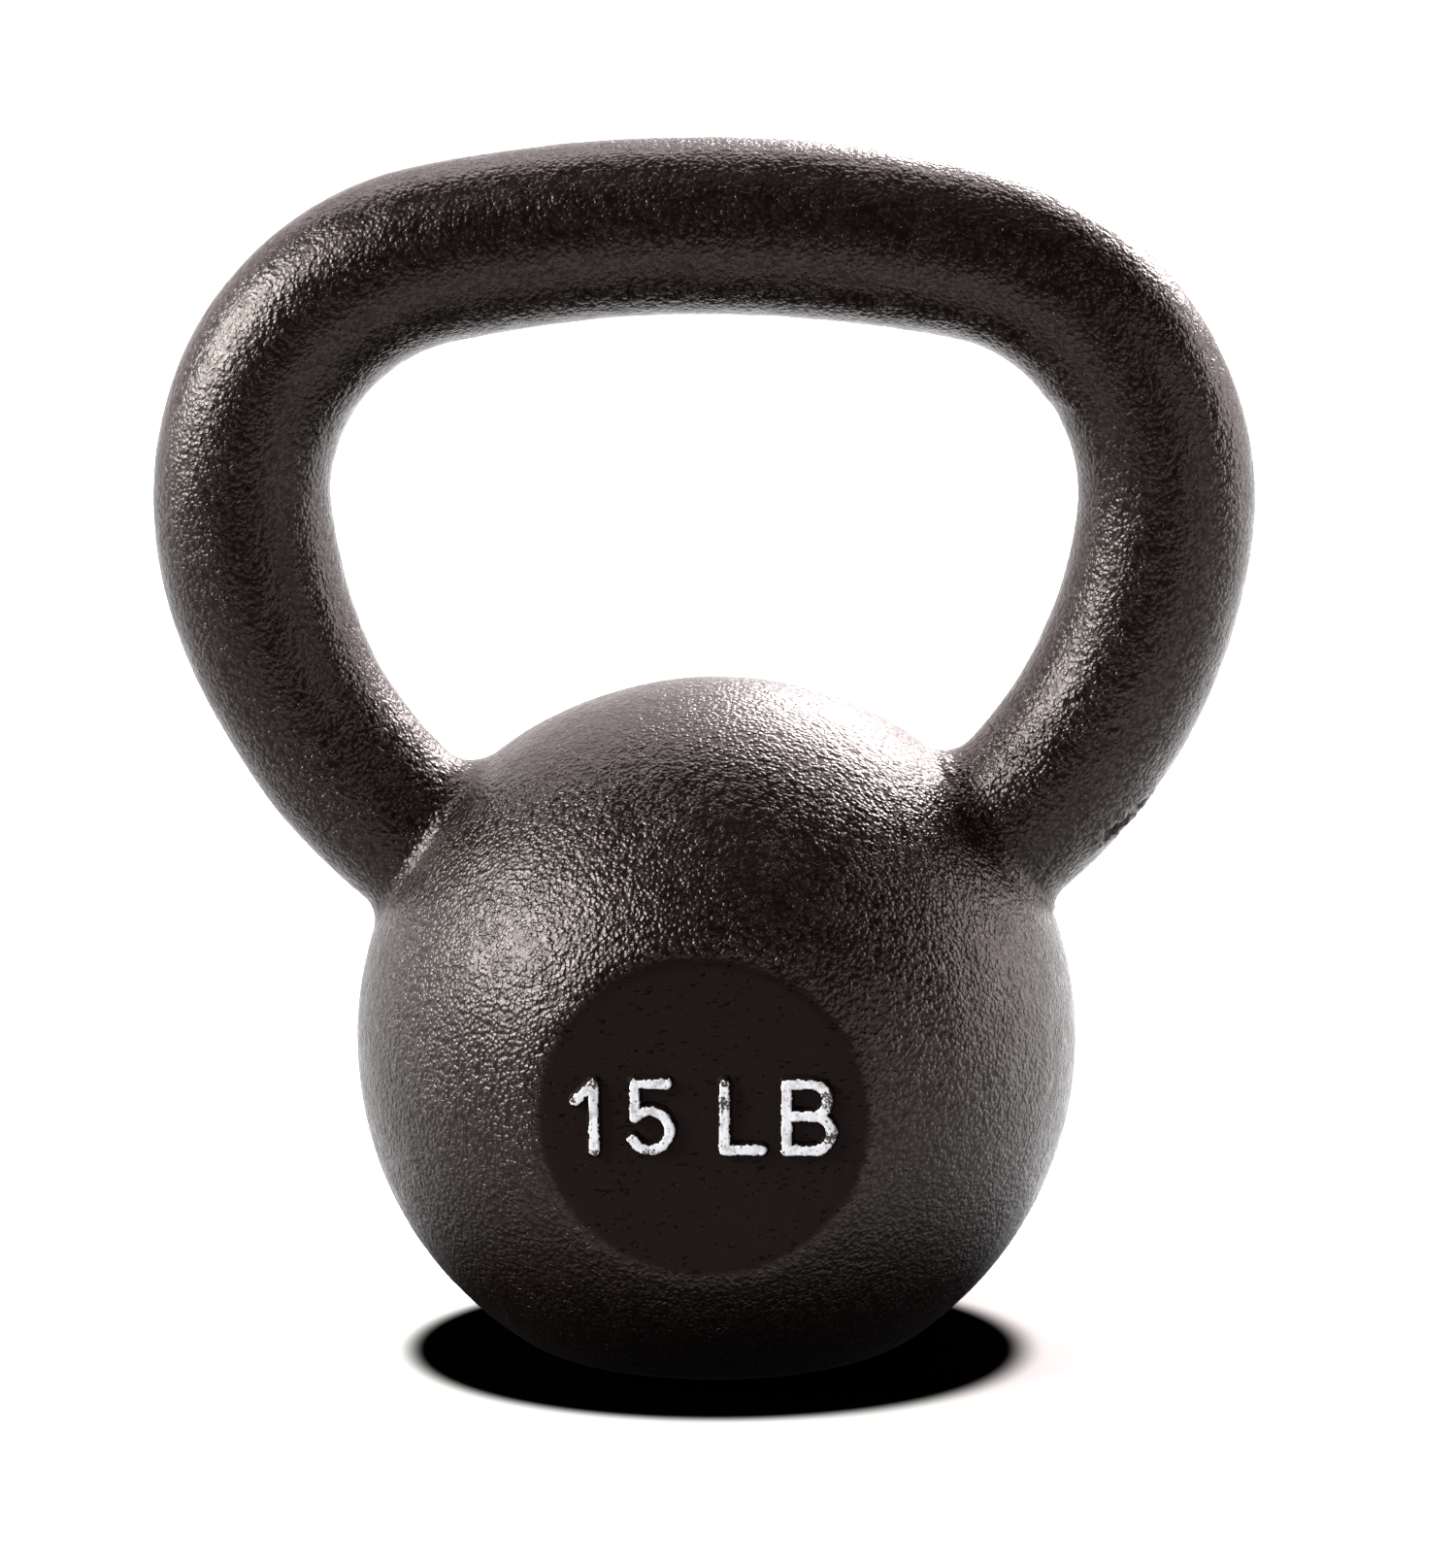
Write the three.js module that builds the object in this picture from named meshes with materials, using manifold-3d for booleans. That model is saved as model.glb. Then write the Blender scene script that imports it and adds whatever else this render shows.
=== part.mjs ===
// Cast-iron kettlebell of the 15 lb size: one ball-shaped bell with a closed loop handle.
// Millimetres, +Z up, the marked flat looks towards -Y.
// The origin is the centre of the flat base that the bell stands on.
import * as THREE from 'three';
import { mergeVertices } from 'three/addons/utils/BufferGeometryUtils.js';
import Module from 'manifold-3d';

const wasm = await Module();
wasm.setup();

// Bell: a sphere with a flat base under it and a round flat on its front and its back.
const BALL_RADIUS = 57.5;
const BALL_CENTRE_Z = 48.0;
const FLAT_FROM_CENTRE = 51.6;

// Handle: a round bar bent in the XZ plane. Its middle line is a chain of tangent arcs,
// the same on both sides: a shallow top arc, a tight shoulder arc and a long leg arc.
const BAR_RADIUS = 13.7;
const LOOP_TOP_ABOVE_CENTRE = 129.3;
const LOOP_SHIFT_X = -1.7;
const TOP_ARC_RADIUS = 205.0;
const SHOULDER_ARC_RADIUS = 39.2;
const LEG_ARC_RADIUS = 73.8;
const TOP_ARC_END = THREE.MathUtils.degToRad(11.65);
const SHOULDER_ARC_END = THREE.MathUtils.degToRad(95.5);
const LEG_ARC_END = THREE.MathUtils.degToRad(152.0);

// Root fillets: the concave blend between each leg and the bell.
const ROOT_FILLET_RADIUS = 5.0;

// Gap left between neighbouring solids of the one casting.
const GAP = 0.25;

// Weight mark: raised characters on the front flat, with white paint on their faces.
const MARK_HEIGHT = 12.0;
const MARK_STROKE = 1.8;
const MARK_RELIEF = 0.8;
const PAINT_THICKNESS = 0.25;
const MARK_MIDDLE_ABOVE_CENTRE = 0.2;
const ONE_LEFT_X = -20.2;
const ONE_WIDTH = 4.6;
const ONE_FLAG_DROP = 4.3;
const FIVE_LEFT_X = -11.7;
const FIVE_WIDTH = 7.5;
const FIVE_BOWL_HEIGHT = 7.8;
const L_LEFT_X = 2.2;
const L_WIDTH = 7.4;
const B_LEFT_X = 11.5;
const B_WIDTH = 8.5;
const B_WAIST = 6.2;

// Facets.
const BALL_TURNS = 64;
const BALL_ARC_STEPS = 36;
const BAR_SIDES = 28;
const BAR_STEPS = 76;
const FILLET_SIDES = 20;
const FILLET_STEPS = 22;
const MARK_CURVE_STEPS = 7;

// Worked out from the dimensions above.
const BALL_CENTRE = new THREE.Vector3(0, 0, BALL_CENTRE_Z);
const FILLET_BLANK_REACH = 0.8 * ROOT_FILLET_RADIUS;
const MARK_BOTTOM_Z = BALL_CENTRE_Z + MARK_MIDDLE_ABOVE_CENTRE - MARK_HEIGHT / 2;
const MARK_BACK_Y = -FLAT_FROM_CENTRE - GAP;
const PAINT_BACK_Y = MARK_BACK_Y - MARK_RELIEF - GAP;

// Each finish gets a material of its own on every mesh.
const ENAMELLED_IRON = { color: 0x1b1716, roughness: 0.42, metalness: 0.15 };
const WORN_WHITE_PAINT = { color: 0xd8d5d1, roughness: 0.62, metalness: 0.0 };

// The middle line of the handle, from the left leg's end over the top to the right leg's end.
class LoopLine extends THREE.Curve {
  constructor() {
    super();
    this.arcs = [];
    let centreX = 0;
    let centreZ = BALL_CENTRE_Z + LOOP_TOP_ABOVE_CENTRE - TOP_ARC_RADIUS;
    let radius = TOP_ARC_RADIUS;
    let from = 0;
    let begin = 0;
    const ends = [TOP_ARC_END, SHOULDER_ARC_END, LEG_ARC_END];
    const radii = [TOP_ARC_RADIUS, SHOULDER_ARC_RADIUS, LEG_ARC_RADIUS];
    for (let i = 0; i < radii.length; i += 1) {
      centreX += (radius - radii[i]) * Math.sin(from);
      centreZ += (radius - radii[i]) * Math.cos(from);
      radius = radii[i];
      const length = radius * (ends[i] - from);
      this.arcs.push({ centreX, centreZ, radius, from, begin, end: begin + length });
      begin += length;
      from = ends[i];
    }
    this.halfLength = begin;
  }

  // The angle and arc at a signed run along the line from the middle of the top.
  place(run) {
    const distance = Math.min(Math.abs(run), this.halfLength);
    const arc = this.arcs.find((a) => distance <= a.end) ?? this.arcs[this.arcs.length - 1];
    const angle = arc.from + (distance - arc.begin) / arc.radius;
    return { arc, angle, side: run < 0 ? -1 : 1 };
  }

  at(run, offset = 0, target = new THREE.Vector3()) {
    const { arc, angle, side } = this.place(run);
    const reach = arc.radius + offset;
    const x = side * (arc.centreX + reach * Math.sin(angle)) + LOOP_SHIFT_X;
    return target.set(x, 0, arc.centreZ + reach * Math.cos(angle));
  }

  getPoint(t, target = new THREE.Vector3()) {
    return this.at((2 * t - 1) * this.halfLength, 0, target);
  }
}

// The corner line of a root: the points that lie one fillet radius off both the bar and the bell.
// It runs round the leg, and so it's the path of the ball that rolls along the root.
class RootLine extends THREE.Curve {
  constructor(loop, side, fromAngle, toAngle) {
    super();
    this.loop = loop;
    this.side = side;
    this.fromAngle = fromAngle;
    this.toAngle = toAngle;
  }

  getPoint(t, target = new THREE.Vector3()) {
    const turn = this.fromAngle + (this.toAngle - this.fromAngle) * t;
    const reach = BAR_RADIUS + ROOT_FILLET_RADIUS;
    const wanted = BALL_RADIUS + ROOT_FILLET_RADIUS;
    let near = this.loop.arcs[1].end;
    let far = this.loop.halfLength;
    for (let i = 0; i < 40; i += 1) {
      const run = (near + far) / 2;
      this.loop.at(this.side * run, reach * Math.cos(turn), target);
      target.y = reach * Math.sin(turn);
      if (target.distanceTo(BALL_CENTRE) > wanted) {
        near = run;
      } else {
        far = run;
      }
    }
    return target;
  }
}

function solidOf(geometry) {
  const bare = new THREE.BufferGeometry();
  bare.setAttribute('position', geometry.getAttribute('position'));
  if (geometry.getIndex()) {
    bare.setIndex(geometry.getIndex());
  }
  const merged = mergeVertices(bare, 1e-4);
  const vertProperties = Float32Array.from(merged.getAttribute('position').array);
  const triVerts = Uint32Array.from(merged.getIndex().array);
  return new wasm.Manifold(new wasm.Mesh({ numProp: 3, vertProperties, triVerts }));
}

function meshOf(name, solid, finish) {
  const { vertProperties, triVerts } = solid.getMesh();
  const geometry = new THREE.BufferGeometry();
  geometry.setAttribute('position', new THREE.BufferAttribute(vertProperties, 3));
  geometry.setIndex(new THREE.BufferAttribute(triVerts, 1));
  geometry.computeVertexNormals();
  const mesh = new THREE.Mesh(geometry, new THREE.MeshStandardMaterial(finish));
  mesh.name = name;
  return mesh;
}

function circleShape(radius, sides) {
  const points = [];
  for (let i = 0; i < sides; i += 1) {
    const turn = (2 * Math.PI * i) / sides;
    points.push(new THREE.Vector2(radius * Math.cos(turn), radius * Math.sin(turn)));
  }
  return new THREE.Shape(points);
}

function sweep(path, radius, sides, steps) {
  const options = { steps, extrudePath: path, bevelEnabled: false };
  return solidOf(new THREE.ExtrudeGeometry(circleShape(radius, sides), options));
}

// The bell as a turned body, with its round surface grown by an amount.
function turnedBell(growth) {
  const radius = BALL_RADIUS + growth;
  const lowest = Math.acos(-BALL_CENTRE_Z / radius);
  const profile = [new THREE.Vector2(0, 0)];
  for (let i = 0; i < BALL_ARC_STEPS; i += 1) {
    const angle = lowest * (1 - i / BALL_ARC_STEPS);
    const height = BALL_CENTRE_Z + radius * Math.cos(angle);
    profile.push(new THREE.Vector2(radius * Math.sin(angle), height));
  }
  profile.push(new THREE.Vector2(0, BALL_CENTRE_Z + radius));
  const geometry = new THREE.LatheGeometry(profile, BALL_TURNS);
  geometry.rotateX(Math.PI / 2);
  return solidOf(geometry);
}

function slabBeyondFlat(side) {
  const size = 3 * BALL_RADIUS;
  const geometry = new THREE.BoxGeometry(size, size, size);
  geometry.translate(0, side * (FLAT_FROM_CENTRE + size / 2), BALL_CENTRE_Z);
  return solidOf(geometry);
}

const loop = new LoopLine();
const bar = sweep(loop, BAR_RADIUS, BAR_SIDES, BAR_STEPS);
const barWithGap = sweep(loop, BAR_RADIUS + GAP, BAR_SIDES, BAR_STEPS);
const barWithFillet = sweep(loop, BAR_RADIUS + FILLET_BLANK_REACH, BAR_SIDES, BAR_STEPS);
const ballWithGap = turnedBell(GAP);
const ballWithFillet = turnedBell(FILLET_BLANK_REACH);

const bell = turnedBell(0).subtract(slabBeyondFlat(-1)).subtract(slabBeyondFlat(1));
const handle = bar.subtract(ballWithGap);

// The corner between a leg and the bell, with the rolled groove taken out of it.
function rootFillet(side) {
  const sideBox = new THREE.BoxGeometry(2 * BALL_RADIUS, 3 * BALL_RADIUS, 6 * BALL_RADIUS);
  sideBox.translate(side * BALL_RADIUS, 0, BALL_CENTRE_Z + 3 * BALL_RADIUS);
  let collar = barWithFillet.intersect(ballWithFillet).intersect(solidOf(sideBox));
  collar = collar.subtract(barWithGap).subtract(ballWithGap);
  for (const start of [0, Math.PI]) {
    const path = new RootLine(loop, side, start - 0.1, start + Math.PI + 0.1);
    collar = collar.subtract(sweep(path, ROOT_FILLET_RADIUS, FILLET_SIDES, FILLET_STEPS));
  }
  return collar;
}

// Character outlines, each with its lower left corner at the origin.
function oneShape() {
  const stemLeft = ONE_WIDTH - MARK_STROKE;
  const flagTop = MARK_HEIGHT - ONE_FLAG_DROP + MARK_STROKE;
  const shape = new THREE.Shape();
  shape.moveTo(stemLeft, 0);
  shape.lineTo(ONE_WIDTH, 0);
  shape.lineTo(ONE_WIDTH, MARK_HEIGHT);
  shape.lineTo(ONE_WIDTH - 0.8 * MARK_STROKE, MARK_HEIGHT);
  shape.lineTo(0, flagTop);
  shape.lineTo(0, flagTop - MARK_STROKE);
  shape.lineTo(stemLeft, flagTop - 0.1 * MARK_STROKE);
  shape.closePath();
  return shape;
}

function fiveShape() {
  const radius = FIVE_BOWL_HEIGHT / 2;
  const bowlX = FIVE_WIDTH - radius;
  const inner = radius - MARK_STROKE;
  const tail = -THREE.MathUtils.degToRad(158);
  const join = THREE.MathUtils.degToRad(128);
  const innerJoin = THREE.MathUtils.degToRad(138);
  const left = bowlX + radius * Math.cos(join) - 0.55 * MARK_STROKE;
  const shape = new THREE.Shape();
  shape.absarc(bowlX, radius, radius, tail, join, false);
  shape.lineTo(left + MARK_STROKE + 0.35, MARK_HEIGHT - MARK_STROKE);
  shape.lineTo(FIVE_WIDTH - 0.6, MARK_HEIGHT - MARK_STROKE);
  shape.lineTo(FIVE_WIDTH - 0.6, MARK_HEIGHT);
  shape.lineTo(left + 0.3, MARK_HEIGHT);
  shape.lineTo(left - 0.2, radius + inner * Math.sin(innerJoin) + 0.2);
  shape.lineTo(bowlX + inner * Math.cos(innerJoin), radius + inner * Math.sin(innerJoin));
  shape.absarc(bowlX, radius, inner, innerJoin, tail, true);
  shape.closePath();
  return shape;
}

function ellShape() {
  const shape = new THREE.Shape();
  shape.moveTo(0, 0);
  shape.lineTo(L_WIDTH, 0);
  shape.lineTo(L_WIDTH, MARK_STROKE);
  shape.lineTo(MARK_STROKE, MARK_STROKE);
  shape.lineTo(MARK_STROKE, MARK_HEIGHT);
  shape.lineTo(0, MARK_HEIGHT);
  shape.closePath();
  return shape;
}

// A flat-backed bowl between two heights, as an outline or as the counter inside it.
function bowlOutline(path, left, right, low, high) {
  const radius = (high - low) / 2;
  path.moveTo(left, high);
  path.lineTo(left, low);
  path.absarc(right - radius, low + radius, radius, -Math.PI / 2, Math.PI / 2, false);
  path.closePath();
  return path;
}

function beeShape() {
  const upperRight = B_WIDTH - 0.5;
  const waistRight = B_WIDTH - 1.6;
  const lowRadius = B_WAIST / 2;
  const highRadius = (MARK_HEIGHT - B_WAIST) / 2;
  const shape = new THREE.Shape();
  shape.moveTo(0, MARK_HEIGHT);
  shape.lineTo(0, 0);
  shape.absarc(B_WIDTH - lowRadius, lowRadius, lowRadius, -Math.PI / 2, 0.9, false);
  shape.lineTo(waistRight, B_WAIST);
  shape.absarc(upperRight - highRadius, B_WAIST + highRadius, highRadius, -0.9, Math.PI / 2, false);
  shape.closePath();
  const half = MARK_STROKE / 2;
  const lowTop = B_WAIST - half;
  const highLow = B_WAIST + half;
  const highTop = MARK_HEIGHT - MARK_STROKE;
  const innerLow = B_WIDTH - MARK_STROKE;
  const innerHigh = upperRight - MARK_STROKE;
  shape.holes.push(bowlOutline(new THREE.Path(), MARK_STROKE, innerLow, MARK_STROKE, lowTop));
  shape.holes.push(bowlOutline(new THREE.Path(), MARK_STROKE, innerHigh, highLow, highTop));
  return shape;
}

function character(shape, leftX, backY, depth) {
  const options = { depth, bevelEnabled: false, curveSegments: MARK_CURVE_STEPS };
  const geometry = new THREE.ExtrudeGeometry(shape, options);
  geometry.rotateX(Math.PI / 2);
  geometry.translate(leftX, backY, MARK_BOTTOM_Z);
  return solidOf(geometry);
}

const group = new THREE.Group();
group.name = 'kettlebell';
group.add(meshOf('bell', bell, ENAMELLED_IRON));
group.add(meshOf('handle', handle, ENAMELLED_IRON));
group.add(meshOf('left_root_fillet', rootFillet(-1), ENAMELLED_IRON));
group.add(meshOf('right_root_fillet', rootFillet(1), ENAMELLED_IRON));

const characters = [
  ['one', oneShape(), ONE_LEFT_X],
  ['five', fiveShape(), FIVE_LEFT_X],
  ['letter_l', ellShape(), L_LEFT_X],
  ['letter_b', beeShape(), B_LEFT_X],
];
for (const [name, shape, leftX] of characters) {
  const raised = character(shape, leftX, MARK_BACK_Y, MARK_RELIEF);
  const paint = character(shape, leftX, PAINT_BACK_Y, PAINT_THICKNESS);
  group.add(meshOf(`raised_${name}`, raised, ENAMELLED_IRON));
  group.add(meshOf(`paint_${name}`, paint, WORN_WHITE_PAINT));
}

export default group;
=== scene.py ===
"""A cast-iron kettlebell in gloss black enamel, with a raised and painted weight mark.

Metres throughout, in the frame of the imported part: +Z up, the marked flat towards -Y, and the
origin in the middle of the base. The casting is one continuous surface, given by CastingField,
that the bell and the handle are both settled onto, so that they meet without a seam.
"""
import logging
import math
from dataclasses import dataclass, field
from enum import Enum

import bmesh
import bpy
import numpy as np
from mathutils import Matrix, Vector


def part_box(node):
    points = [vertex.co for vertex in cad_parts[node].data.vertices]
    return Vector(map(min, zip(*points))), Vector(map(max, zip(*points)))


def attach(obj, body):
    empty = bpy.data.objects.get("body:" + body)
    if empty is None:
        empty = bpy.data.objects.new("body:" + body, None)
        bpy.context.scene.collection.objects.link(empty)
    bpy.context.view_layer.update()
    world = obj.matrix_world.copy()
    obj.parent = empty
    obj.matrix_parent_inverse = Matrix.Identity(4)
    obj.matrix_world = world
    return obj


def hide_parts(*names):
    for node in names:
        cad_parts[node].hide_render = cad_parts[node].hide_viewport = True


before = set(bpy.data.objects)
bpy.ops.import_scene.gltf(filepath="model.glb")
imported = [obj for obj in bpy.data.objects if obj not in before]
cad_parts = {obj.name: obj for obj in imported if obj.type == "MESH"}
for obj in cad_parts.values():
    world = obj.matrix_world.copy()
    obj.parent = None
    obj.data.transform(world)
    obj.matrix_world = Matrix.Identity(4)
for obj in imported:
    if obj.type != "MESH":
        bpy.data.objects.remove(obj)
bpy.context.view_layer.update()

MM = 0.001
BELL_RADIUS = 57.5 * MM
Socket = bpy.types.NodeSocket
LOG = logging.getLogger("kettlebell")


# Noise and smooth steps that shape the casting


def smooth(low: float, high: float, value: np.ndarray) -> np.ndarray:
    """A smooth step.

    Args:
        low: Where the step starts, at 0.
        high: Where it ends, at 1.
        value: The values to step over.

    Returns:
        The step at each value.
    """
    t = np.clip((value - low) / (high - low), 0.0, 1.0)
    return t * t * (3.0 - 2.0 * t)


@dataclass(frozen=True)
class SandNoise:
    """Repeatable noise in space, for the skin that sand and shot leave on iron."""

    seed: int = 7

    def _hash(self, cell: np.ndarray, salt: int) -> np.ndarray:
        """Numbers from 0 to 1 for whole-number cells.

        Args:
            cell: Cells, as an array of three whole numbers each.
            salt: Tells one set of numbers from another.

        Returns:
            One number for each cell.
        """
        c = cell.astype(np.int64)
        h = c[..., 0] * 374761393 + c[..., 1] * 668265263 + c[..., 2] * 2147483647
        h = (h + (self.seed * 7919 + salt) * 1274126177) & 0x7FFFFFFF
        h = ((h ^ (h >> 13)) * 1274126177) & 0x7FFFFFFF
        return ((h ^ (h >> 16)) & 0xFFFFFF) / float(0xFFFFFF)

    def swell(self, points: np.ndarray, size: float, salt: int = 0) -> np.ndarray:
        """Smooth noise from about -1 to 1.

        Args:
            points: Where to read it.
            size: The distance between its lumps.
            salt: Tells one noise from another.

        Returns:
            The noise at each point.
        """
        q = points / size
        base = np.floor(q)
        f = q - base
        u = f * f * f * (f * (f * 6.0 - 15.0) + 10.0)
        total = np.zeros(len(points))
        for corner in range(8):
            step = np.array([corner & 1, corner >> 1 & 1, corner >> 2 & 1])
            cell = base + step
            lean = [2.0 * self._hash(cell, salt * 3 + k) - 1.0 for k in range(3)]
            reach = f - step
            dot = sum(lean[k] * reach[:, k] for k in range(3))
            weight = np.prod(np.where(step == 1, u, 1.0 - u), axis=1)
            total += weight * dot
        return total * 1.6

    def pebbles(self, points: np.ndarray, size: float, salt: int = 0) -> np.ndarray:
        """Rounded grains with narrow valleys, from 0 in a valley to about 1 on a grain.

        Args:
            points: Where to read them.
            size: The distance between grains.
            salt: Tells one set of grains from another.

        Returns:
            The height at each point.
        """
        q = points / size
        base = np.floor(q)
        near = np.full(len(points), 9.0)
        second = np.full(len(points), 9.0)
        for dx in (-1, 0, 1):
            for dy in (-1, 0, 1):
                for dz in (-1, 0, 1):
                    cell = base + np.array([dx, dy, dz])
                    seed = np.stack([self._hash(cell, 50 + salt * 3 + k) for k in range(3)], 1)
                    d = np.linalg.norm(cell + seed - q, axis=1)
                    second = np.minimum(second, np.maximum(d, near))
                    near = np.minimum(near, d)
        return np.sqrt(np.clip(second - near, 0.0, 1.0))


# The casting's surface


@dataclass(frozen=True)
class LoopArc:
    """One arc of the handle's middle line, on the right-hand side of the loop."""

    centre_x: float
    centre_z: float
    radius: float
    start: float
    end: float
    run: float


@dataclass(frozen=True)
class LoopLine:
    """The handle's middle line: a shallow top arc, a shoulder arc and a leg arc on each side."""

    top_height: float
    shift_x: float = -1.7 * MM
    top_radius: float = 205.0 * MM
    shoulder_radius: float = 39.2 * MM
    leg_radius: float = 73.8 * MM
    top_end: float = math.radians(11.65)
    shoulder_end: float = math.radians(95.5)
    leg_end: float = math.radians(152.0)

    def arcs(self) -> list[LoopArc]:
        """The three arcs of one side.

        Returns:
            The arcs, in order from the middle of the top.
        """
        made = []
        x, z = 0.0, self.top_height - self.top_radius
        radius, angle, run = self.top_radius, 0.0, 0.0
        for new_radius, end in (
            (self.top_radius, self.top_end),
            (self.shoulder_radius, self.shoulder_end),
            (self.leg_radius, self.leg_end),
        ):
            x += (radius - new_radius) * math.sin(angle)
            z += (radius - new_radius) * math.cos(angle)
            radius = new_radius
            made.append(LoopArc(x, z, radius, angle, end, run))
            run += radius * (end - angle)
            angle = end
        return made

    def at(self, run: np.ndarray) -> tuple[np.ndarray, np.ndarray]:
        """Points and outward directions on the line.

        Args:
            run: Signed distances along the line from the middle of the top.

        Returns:
            The points, and the unit directions away from the window, in the plane of the loop.
        """
        points = np.zeros((len(run), 3))
        outward = np.zeros((len(run), 3))
        side = np.where(run < 0, -1.0, 1.0)
        distance = np.abs(run)
        for arc in self.arcs():
            here = distance >= arc.run
            angle = arc.start + (distance - arc.run) / arc.radius
            x = side * (arc.centre_x + arc.radius * np.sin(angle)) + self.shift_x
            z = arc.centre_z + arc.radius * np.cos(angle)
            points[here] = np.stack([x, np.zeros_like(x), z], 1)[here]
            lean = np.stack([side * np.sin(angle), np.zeros_like(x), np.cos(angle)], 1)
            outward[here] = lean[here]
        return points, outward

    def nearest(self, points: np.ndarray) -> tuple[np.ndarray, np.ndarray]:
        """How far points are from the line, and where along it.

        Args:
            points: Points in space.

        Returns:
            The distance of each point from the line, and the signed run of its nearest point.
        """
        x = points[:, 0] - self.shift_x
        side = np.where(x < 0, -1.0, 1.0)
        x = np.abs(x)
        best = np.full(len(points), 1e9)
        run = np.zeros(len(points))
        for arc in self.arcs():
            dx, dz = x - arc.centre_x, points[:, 2] - arc.centre_z
            angle = np.clip(np.arctan2(dx, dz), arc.start, arc.end)
            angle = np.where((np.arctan2(dx, dz) < arc.start - 1.6), arc.end, angle)
            nx = arc.centre_x + arc.radius * np.sin(angle)
            nz = arc.centre_z + arc.radius * np.cos(angle)
            d = np.sqrt((x - nx) ** 2 + (points[:, 2] - nz) ** 2 + points[:, 1] ** 2)
            closer = d < best
            best = np.where(closer, d, best)
            run = np.where(closer, arc.run + arc.radius * (angle - arc.start), run)
        return best, side * run


@dataclass(frozen=True)
class CastingField:
    """The signed distance to the bare casting: the bell, its flats, the handle and the roots.

    Each of swells is a place where the bar is a little thicker or thinner than its nominal
    radius: by how much, at which run along the loop, and over what reach, all in millimetres.
    """

    centre_z: float
    ball_radius: float
    flat_distance: float
    bar_radius: float
    loop: LoopLine
    root_fillet: float = 4.6 * MM
    base_edge: float = 1.6 * MM
    flat_edge: float = 1.1 * MM
    swells: tuple = ((0.25, -60, 35), (-0.35, 52, 24), (0.45, -106, 11), (0.4, 122, 26))
    left_root_waist: float = 0.5

    def value(self, points: np.ndarray) -> np.ndarray:
        """How far points are from the surface.

        Args:
            points: Points in space.

        Returns:
            The signed distance at each point, negative in the iron.
        """
        ball, bar = self.parts(points)
        # The roots are fullest inside the loop and tightest at the front and the back.
        inside = smooth(52 * MM, 40 * MM, np.abs(points[:, 0]))
        front = smooth(5 * MM, 12 * MM, np.abs(points[:, 1]))
        gap = self.root_fillet * (0.7 + 0.4 * inside) * (1.0 - 0.4 * front)
        corner = np.hypot(np.maximum(gap - ball, 0.0), np.maximum(gap - bar, 0.0))
        joined = np.maximum(gap, np.minimum(ball, bar)) - corner
        return self._shave(joined, -points[:, 2], self.base_edge)

    def parts(self, points: np.ndarray) -> tuple[np.ndarray, np.ndarray]:
        """How far points are from the bell and from the bar, before the roots join them.

        Args:
            points: Points in space.

        Returns:
            The signed distance of each point from the bell, and from the bar.
        """
        rel = points - np.array([0.0, 0.0, self.centre_z])
        ball = np.linalg.norm(rel, axis=1) - self.ball_radius
        ball = self._shave(ball, np.abs(points[:, 1]) - self.flat_distance, self.flat_edge)
        distance, run = self.loop.nearest(points)
        return ball, distance - self.bar_radius - self.swelling(run)

    @staticmethod
    def _shave(body: np.ndarray, cut: np.ndarray, edge: float) -> np.ndarray:
        """Cuts a body by a plane, with a rounded edge.

        Args:
            body: The body's signed distance.
            cut: The plane's signed distance, positive on the side that goes.
            edge: The radius of the edge.

        Returns:
            The signed distance of what is left.
        """
        corner = np.hypot(np.maximum(body + edge, 0.0), np.maximum(cut + edge, 0.0))
        return np.minimum(-edge, np.maximum(body, cut)) + corner

    def swelling(self, run: np.ndarray) -> np.ndarray:
        """How much thicker the bar is than its nominal radius.

        Args:
            run: Signed distances along the loop.

        Returns:
            The extra radius at each run.
        """
        total = np.zeros(len(run))
        for amount, middle, reach in self.swells:
            total += amount * np.exp(-(((run / MM - middle) / reach) ** 2))
        total -= self.left_root_waist * smooth(118 * MM, 134 * MM, -run)
        return MM * total

    def slope(self, points: np.ndarray) -> np.ndarray:
        """The direction out of the casting.

        Args:
            points: Points in space.

        Returns:
            The unit direction in which the distance grows at each point.
        """
        step = 0.05 * MM
        parts = []
        for k in range(3):
            shift = np.zeros(3)
            shift[k] = step
            parts.append(self.value(points + shift) - self.value(points - shift))
        grad = np.stack(parts, 1)
        return grad / np.maximum(np.linalg.norm(grad, axis=1, keepdims=True), 1e-12)

    def settle(self, points: np.ndarray, rounds: int) -> np.ndarray:
        """Moves points onto the surface.

        Args:
            points: Points close to the surface.
            rounds: How many times to step towards it.

        Returns:
            The settled points.
        """
        for _ in range(rounds):
            points = points - self.slope(points) * self.value(points)[:, None]
        return points


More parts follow.
